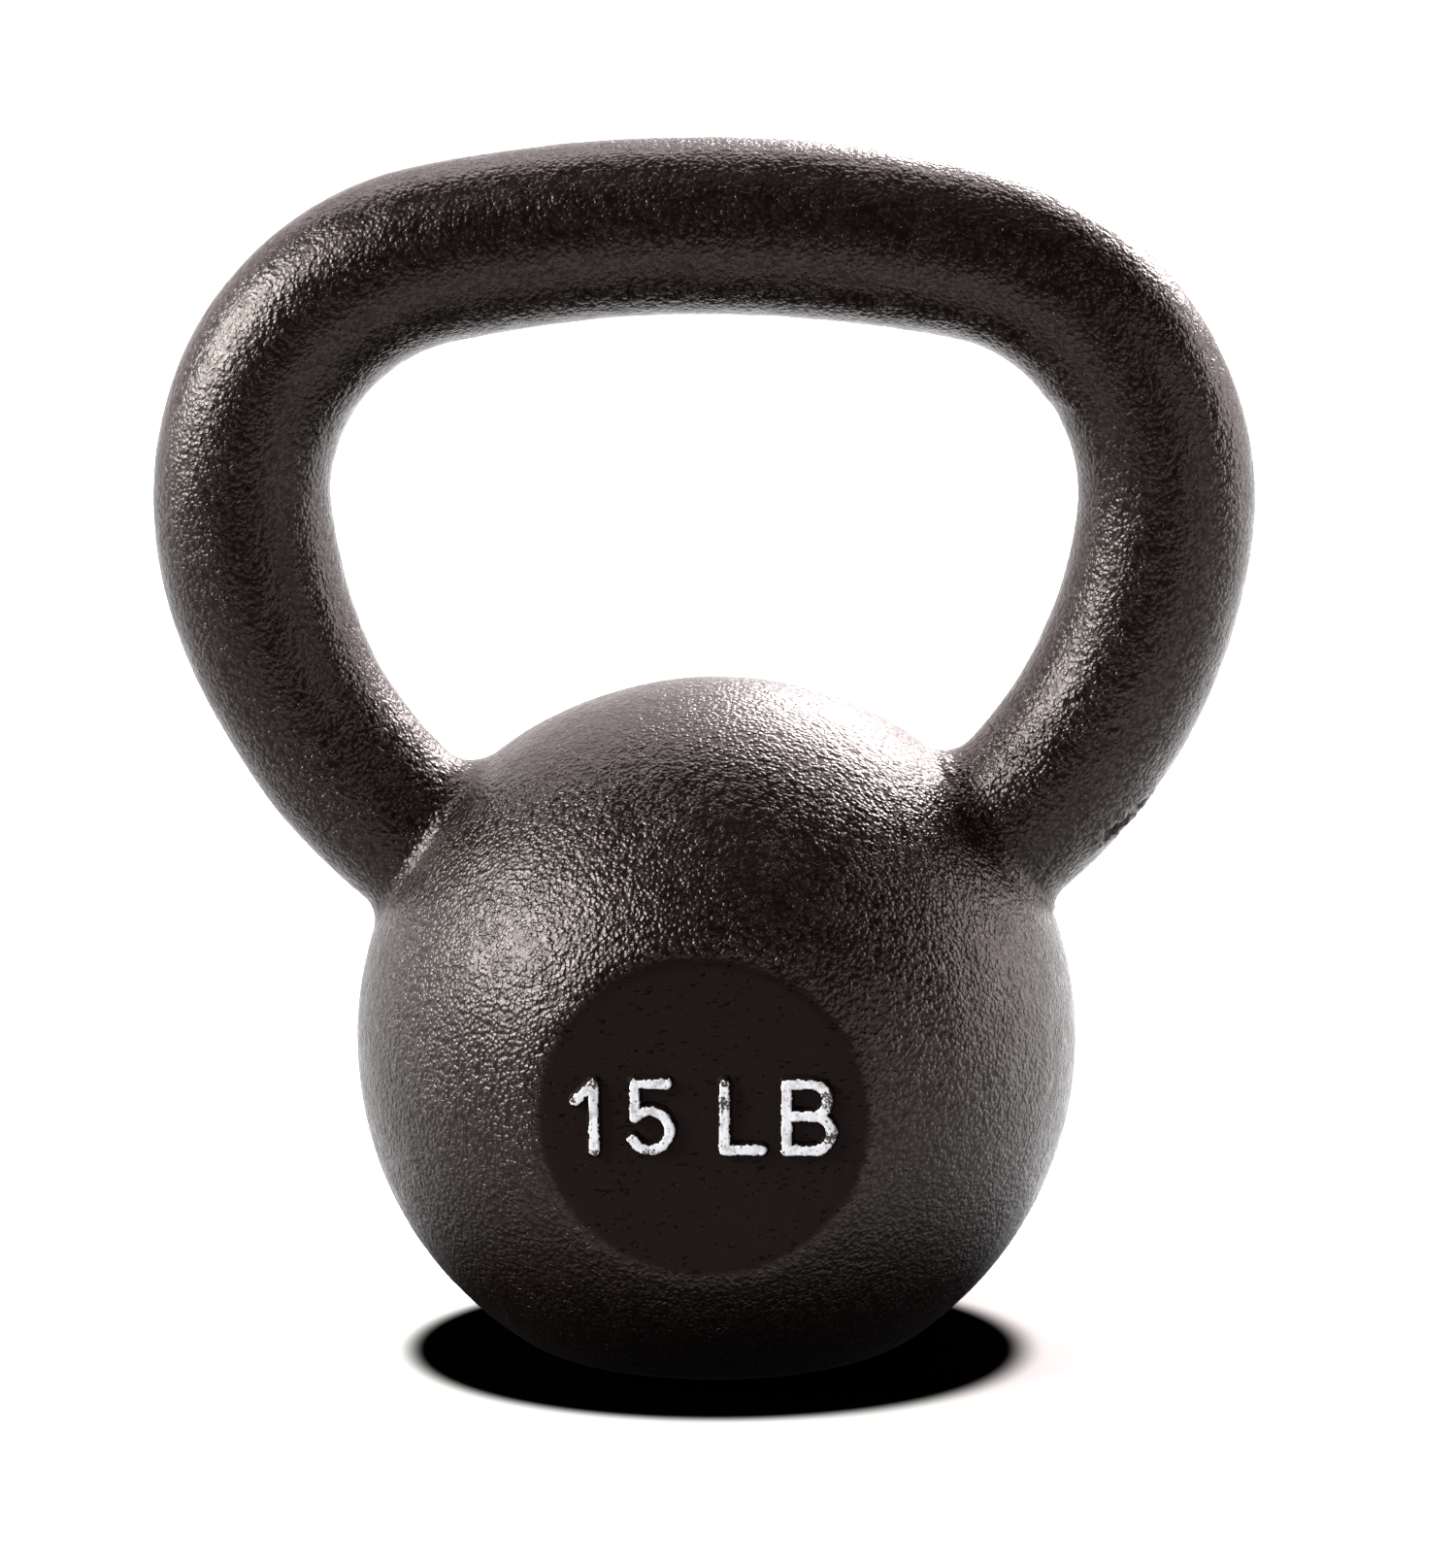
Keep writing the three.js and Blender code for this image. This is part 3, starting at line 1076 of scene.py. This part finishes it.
@dataclass
class CastHandle:
    """The loop handle, down to where its legs go into the bell's stubs."""

    shape: CastingField
    skin: CastSkin
    bell: CastBell
    rings: int = 640
    sides: int = 150
    sink: float = 0.12 * MM

    def build(self) -> bpy.types.Object:
        """Makes the handle.

        Returns:
            The finished mesh object.
        """
        loop = self.shape.loop
        ends = [loop.nearest(point[None])[1][0] for point, _ in self.bell.legs()]
        below = 3.0 * MM
        rings = self.rings // 1
        sides = self.sides // 1
        runs = np.linspace(ends[0] - below, ends[1] + below, rings)
        line, out = loop.at(runs)
        turn = np.linspace(0, 2 * np.pi, sides, endpoint=False)
        across = np.array([0.0, 1.0, 0.0])
        ring = np.cos(turn)[None, :, None] * out[:, None, :]
        ring = ring + np.sin(turn)[None, :, None] * across
        points = (line[:, None, :] + self.shape.bar_radius * ring).reshape(-1, 3)
        lean = ring.reshape(-1, 3)
        gap = self.shape.value(points)
        points = points - lean * gap[:, None]
        normal = self.shape.slope(points)
        rise = self.skin.height(points)
        past = np.repeat(np.maximum(ends[0] - runs, runs - ends[1]), sides)
        rise = rise - self.sink * smooth(0.0, 1.2 * MM, past) * 3.0
        rise = rise - self.sink * smooth(-1.0 * MM, 0.6 * MM, past)
        points = points + normal * rise[:, None]
        return self._skinned(points, rings, sides)

    @staticmethod
    def _skinned(points: np.ndarray, rings: int, sides: int) -> bpy.types.Object:
        """Joins rings of points into a closed tube.

        Args:
            points: The points, ring by ring.
            rings: How many rings there are.
            sides: How many points each has.

        Returns:
            The tube.
        """
        a = np.arange(rings - 1)[:, None] * sides + np.arange(sides)[None, :]
        b = np.arange(rings - 1)[:, None] * sides + (np.arange(sides)[None, :] + 1) % sides
        quads = np.stack([a, b, b + sides, a + sides], -1).reshape(-1, 4)
        first = points[:sides].mean(axis=0)
        last = points[-sides:].mean(axis=0)
        points = np.vstack([points, first, last])
        caps = []
        top = (rings - 1) * sides
        for k in range(sides):
            nxt = (k + 1) % sides
            caps.append((rings * sides, nxt, k))
            caps.append((rings * sides + 1, top + k, top + nxt))
        return MeshWork.joined("cast_handle", points, quads.tolist() + caps)

    def dress(self, made: bpy.types.Object, enamel: bpy.types.Material) -> None:
        """Enamels the handle and hangs it on the part."""
        MeshWork.dress(made, enamel, "iron", ("handle",))


class Mark(Enum):
    """The raised characters of the weight mark, by the end of their nodes' names."""

    ONE = "one"
    FIVE = "five"
    ELL = "letter_l"
    BEE = "letter_b"


@dataclass
class MarkCharacter:
    """One raised character and the paint on its face."""

    mark: Mark
    flat_y: float
    relief: float = 1.15 * MM
    stroke: float = 1.8 * MM
    flank: float = 0.42 * MM
    root: float = -0.4 * MM
    film: float = 0.09 * MM
    voxel: float = 0.13 * MM
    noise: SandNoise = field(default_factory=lambda: SandNoise(23))

    def _strokes(self, width: float, height: float) -> list[list]:
        """The middle lines of the character's strokes, in its own plane.

        Args:
            width: The character's overall width.
            height: Its overall height.

        Returns:
            Each stroke as its points.
        """
        h = self.stroke / 2
        w, t = width - h, height - h

        def arc(cx: float, cy: float, rx: float, ry: float, start: float, end: float) -> list:
            """Points on an arc from start to end, in degrees, about (cx, cy)."""
            turns = np.radians(np.linspace(start, end, 22))
            return [(cx + rx * math.cos(a), cy + ry * math.sin(a)) for a in turns]

        if self.mark is Mark.ONE:
            return [[(w, h * 0.8), (w, t)], [(w - 0.1 * MM, t - 0.1 * MM), (h, height - 3.6 * MM)]]
        if self.mark is Mark.ELL:
            return [[(h, t), (h, h), (w, h)]]
        if self.mark is Mark.FIVE:
            r = 3.9 * MM - h
            bowl = arc(width - 3.9 * MM, 3.9 * MM, r, r, -152, 138)
            return [bowl, [(w - 0.5 * MM, t), (h + 0.45 * MM, t), bowl[-1]]]
        waist = 6.2 * MM
        low = arc(w - waist / 2 + h / 2, (waist + h) / 2, waist / 2 - h / 2, (waist - h) / 2, -90, 90)
        r = (t - waist) / 2
        high = arc(w - 0.5 * MM - r, waist + r, r, r, -90, 90)
        return [[(h, waist), (h, h), *low, (h, waist)], [(h, waist), *high, (h, t), (h, waist)]]

    def build(self) -> tuple[bpy.types.Object, bpy.types.Object]:
        """Makes the raised iron and its paint.

        Returns:
            The raised character, and the paint film.
        """
        low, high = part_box(f"raised_{self.mark.value}")
        width, height = high[0] - low[0], high[2] - low[2]
        step = self.voxel * 1
        margin = self.flank + 3 * step
        xs = np.arange(low[0] - margin, high[0] + margin, step)
        zs = np.arange(low[2] - margin, high[2] + margin, step)
        gx, gz = np.meshgrid(xs, zs)
        plane = np.stack([gx.ravel() - low[0], gz.ravel() - low[2]], 1)
        inside = self.stroke / 2 - self._from_strokes(plane, self._strokes(width, height))
        spot = np.stack([gx.ravel(), np.full(gx.size, self.flat_y), gz.ravel()], 1)
        inside = inside + 0.13 * MM * self.noise.swell(spot, 1.5 * MM, 1)
        inside = inside + 0.06 * MM * self.noise.swell(spot, 0.5 * MM, 2)
        rise = self.relief * smooth(-self.flank, self.flank * 0.75, inside)
        rise = rise + 0.05 * MM * self.noise.swell(spot, 1.1 * MM, 3) * (inside > -self.flank)
        grid = (len(xs), len(zs))
        name = self.mark.value
        iron = self._relief_mesh(f"cast_{name}", spot, rise, grid, self.root, inside > -self.flank)
        ragged = 0.13 * MM * self.noise.swell(spot, 2.2 * MM, 4)
        ragged = ragged + 0.21 * MM * self.noise.swell(spot, 0.6 * MM, 5)
        painted = inside + ragged > 0.10 * MM
        film = self._relief_mesh(f"painted_{name}", spot, rise + self.film / 2, grid, None, painted)
        return iron, film

    @staticmethod
    def _from_strokes(plane: np.ndarray, strokes: list) -> np.ndarray:
        """How far points are from the strokes' middle lines.

        Args:
            plane: Points in the character's plane.
            strokes: The strokes' middle lines.

        Returns:
            The distance of each point from the nearest line.
        """
        best = np.full(len(plane), 1.0)
        for line in strokes:
            for (ax, ay), (bx, by) in zip(line[:-1], line[1:]):
                a = np.array([ax, ay])
                along = np.array([bx, by]) - a
                t = np.clip(((plane - a) @ along) / max(along @ along, 1e-18), 0.0, 1.0)
                best = np.minimum(best, np.linalg.norm(plane - a - t[:, None] * along, axis=1))
        return best

    def _relief_mesh(
        self, name: str, spot: np.ndarray, rise: np.ndarray, grid: tuple[int, int],
        floor: float | None, kept: np.ndarray,
    ) -> bpy.types.Object:
        """Turns a field of heights over the flat into a closed mesh.

        Args:
            name: The piece's name.
            spot: The grid's points on the flat.
            rise: How far the front stands off the flat at each.
            grid: How many columns and rows the grid has.
            floor: How far the back stands off the flat, or None for a film of even thickness.
            kept: Which grid points belong to the piece.

        Returns:
            The piece.
        """
        cols, rows = grid
        index = np.arange(rows * cols).reshape(rows, cols)
        corners = (index[:-1, :-1], index[:-1, 1:], index[1:, 1:], index[1:, :-1])
        quad = np.stack(corners, -1).reshape(-1, 4)
        quad = quad[kept[quad].all(axis=1)]
        used = np.unique(quad)
        renumber = np.full(rows * cols, -1)
        renumber[used] = np.arange(len(used))
        front = spot[used].copy()
        front[:, 1] = self.flat_y - rise[used]
        back = spot[used].copy()
        back[:, 1] = front[:, 1] + self.film if floor is None else self.flat_y - floor
        quad = renumber[quad]
        n = len(used)
        rear = quad[:, ::-1] + n
        edges = {}
        for k in range(4):
            for a, b in zip(quad[:, k].tolist(), quad[:, (k + 1) % 4].tolist()):
                if (b, a) in edges:
                    del edges[(b, a)]
                else:
                    edges[(a, b)] = True
        walls = [(b, a, a + n, b + n) for a, b in edges]
        faces = quad.tolist() + rear.tolist() + walls
        return MeshWork.joined(name, np.vstack([front, back]), faces)

    def dress(
        self, iron: bpy.types.Object, film: bpy.types.Object,
        enamel: bpy.types.Material, paint: bpy.types.Material,
    ) -> None:
        """Finishes both pieces and hangs them on the part.

        Args:
            iron: The raised character.
            film: The paint on it.
            enamel: The enamel on the iron.
            paint: The paint.
        """
        MeshWork.dress(iron, enamel, "iron", (f"raised_{self.mark.value}",))
        MeshWork.dress(film, paint, "mark_paint", (f"paint_{self.mark.value}",))


# Studio


@dataclass(frozen=True)
class SoftBox:
    """One square soft light that faces the bell."""

    name: str
    azimuth: float
    elevation: float
    distance: float
    width: float
    height: float
    power: float
    tint: tuple = (1.0, 0.92, 0.91)

    def build(self, aim: Vector) -> None:
        """Hangs the light.

        Args:
            aim: What it faces.
        """
        data = bpy.data.lights.new(self.name, "AREA")
        data.shape = "RECTANGLE"
        data.size, data.size_y = self.width, self.height
        data.energy = self.power
        data.color = self.tint
        lamp = bpy.data.objects.new(self.name, data)
        bpy.context.scene.collection.objects.link(lamp)
        az, el = math.radians(self.azimuth), math.radians(self.elevation)
        away = Vector((math.sin(az) * math.cos(el), -math.cos(az) * math.cos(el), math.sin(el)))
        lamp.location = aim + away * self.distance
        lamp.rotation_euler = away.to_track_quat("Z", "Y").to_euler()


@dataclass
class Studio:
    """The pale floor, the bright surroundings, the lights and the camera."""

    aim: Vector
    distance: float = 780 * MM
    azimuth: float = 2.0
    elevation: float = 13.8
    roll: float = 0.3
    frame_width: float = 234.0 * MM
    frame_shape: float = 1500.0 / 1615.0
    bell_across: float = 0.492
    bell_down: float = 0.660
    behind: float = 1.6
    ahead: float = 0.03
    room_tint: tuple = (1.0, 0.9, 0.9)
    white_level: float = 1.4

    def floor(self) -> None:
        """Lays the floor."""
        work = bmesh.new()
        bmesh.ops.create_circle(work, cap_ends=True, segments=96, radius=6.0)
        mesh = bpy.data.meshes.new("floor")
        work.to_mesh(mesh)
        work.free()
        mesh.materials.append(StudioFloor().make())
        made = MeshWork.place("floor", mesh)
        made.location.z = -0.0002

    def surroundings(self) -> None:
        """A room that is white to look at, bright behind the bell and dim in front of it."""
        world = bpy.data.worlds.new("white_room")
        bpy.context.scene.world = world
        b = NodeBench(world)
        toward = b.add("ShaderNodeVectorMath", operation="DOT_PRODUCT")
        toward.inputs[1].default_value = (0.0, 1.0, -0.25)
        b.link(b.where.node.outputs["Generated"], toward.inputs[0])
        shade = b.ramp(toward.outputs["Value"], -0.15, 0.3, (self.ahead, self.behind))
        room = b.add("ShaderNodeBackground")
        room.inputs["Color"].default_value = (*self.room_tint, 1.0)
        b.link(shade, room.inputs["Strength"])
        white = b.add("ShaderNodeBackground")
        white.inputs["Strength"].default_value = self.white_level
        b.show(white, room, "ShaderNodeOutputWorld")

    def lights(self) -> None:
        """Hangs the soft boxes."""
        boxes = (
            SoftBox("left_box", -75, 28, 1.3, 0.9, 0.7, 48.0, (0.95, 1.0, 0.95)),
            SoftBox("left_front_box", -58, 46, 1.4, 0.4, 0.4, 3.0),
            SoftBox("back_right_box", 156, 30, 1.4, 0.88, 0.42, 26.5),
            SoftBox("top_back_box", 180, 62, 1.4, 1.8, 0.45, 8.5),
            SoftBox("top_front_box", 0, 72, 1.4, 1.6, 0.32, 0.75),
            SoftBox("left_low_box", -86, 4, 1.3, 0.7, 0.5, 1.7),
            SoftBox("right_box", 108, 12, 1.4, 0.7, 0.9, 6.0),
            SoftBox("right_fill", 48, 8, 1.4, 1.1, 0.8, 3.6),
        )
        for box in boxes:
            box.build(self.aim)

    def camera(self) -> None:
        """Sets up the camera so that the bell's middle lands at its place in the frame."""
        focal = self.distance / self.frame_width
        frame_height = self.frame_width / self.frame_shape
        right = (self.bell_across - 0.5) * self.frame_width / self.distance
        down = (self.bell_down - 0.5) * frame_height / self.distance
        pitch = math.radians(self.elevation) - math.atan(down)
        az = math.radians(self.azimuth)
        ahead = Vector((-math.sin(az) * math.cos(pitch), math.cos(az) * math.cos(pitch), -math.sin(pitch)))
        across = Vector((math.cos(az), math.sin(az), 0.0))
        up = across.cross(ahead)
        ray = (ahead + across * right - up * down).normalized()
        spot = self.aim - ray * self.distance
        turn = Matrix((across, up, -ahead)).transposed()
        roll = Matrix.Rotation(math.radians(self.roll), 3, ray)
        data = bpy.data.cameras.new("camera")
        data.sensor_fit = "HORIZONTAL"
        data.sensor_width = 36.0
        data.lens = 36.0 * focal
        data.clip_start, data.clip_end = 0.01, 50.0
        made = bpy.data.objects.new("camera", data)
        bpy.context.scene.collection.objects.link(made)
        made.matrix_world = Matrix.Translation(spot) @ (roll @ turn).to_4x4()
        bpy.context.scene.camera = made

    def build(self) -> None:
        """Sets the whole studio."""
        self.floor()
        self.surroundings()
        self.lights()
        self.camera()
        view = bpy.context.scene.view_settings
        view.view_transform = "Standard"
        view.look = "None"


def casting() -> CastingField:
    """The casting's surface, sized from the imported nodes.

    Returns:
        The casting's signed distance field.
    """
    bell_low, bell_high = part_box("bell")
    loop_low, loop_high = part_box("handle")
    bar = (loop_high[1] - loop_low[1]) / 2
    loop = LoopLine(top_height=loop_high[2] - bar)
    return CastingField(
        centre_z=bell_high[2] - BELL_RADIUS,
        ball_radius=BELL_RADIUS,
        flat_distance=-bell_low[1],
        bar_radius=bar,
        loop=loop,
    )


def main() -> None:
    """Builds the kettlebell and its studio."""
    logging.basicConfig(level=logging.INFO, format="%(name)s: %(message)s")
    shape = casting()
    skin = CastSkin(shape)
    enamel = GlossEnamel(flat_distance=shape.flat_distance).make()
    paint = WornPaint().make()
    studio = Studio(aim=Vector((0.0, 0.0, shape.centre_z)))
    studio.build()
    bell = CastBell(shape, skin)
    cast_bell = bell.build()
    bell.dress(cast_bell, enamel)
    LOG.info("bell: %d faces", len(cast_bell.data.polygons))
    handle = CastHandle(shape, skin, bell)
    cast_handle = handle.build()
    handle.dress(cast_handle, enamel)
    LOG.info("handle: %d faces", len(cast_handle.data.polygons))
    for mark in Mark:
        character = MarkCharacter(mark, flat_y=-shape.flat_distance)
        iron, film = character.build()
        character.dress(iron, film, enamel, paint)
        LOG.info("%s: %d and %d faces", mark.value, len(iron.data.polygons), len(film.data.polygons))


if __name__ == "__main__":
    main()
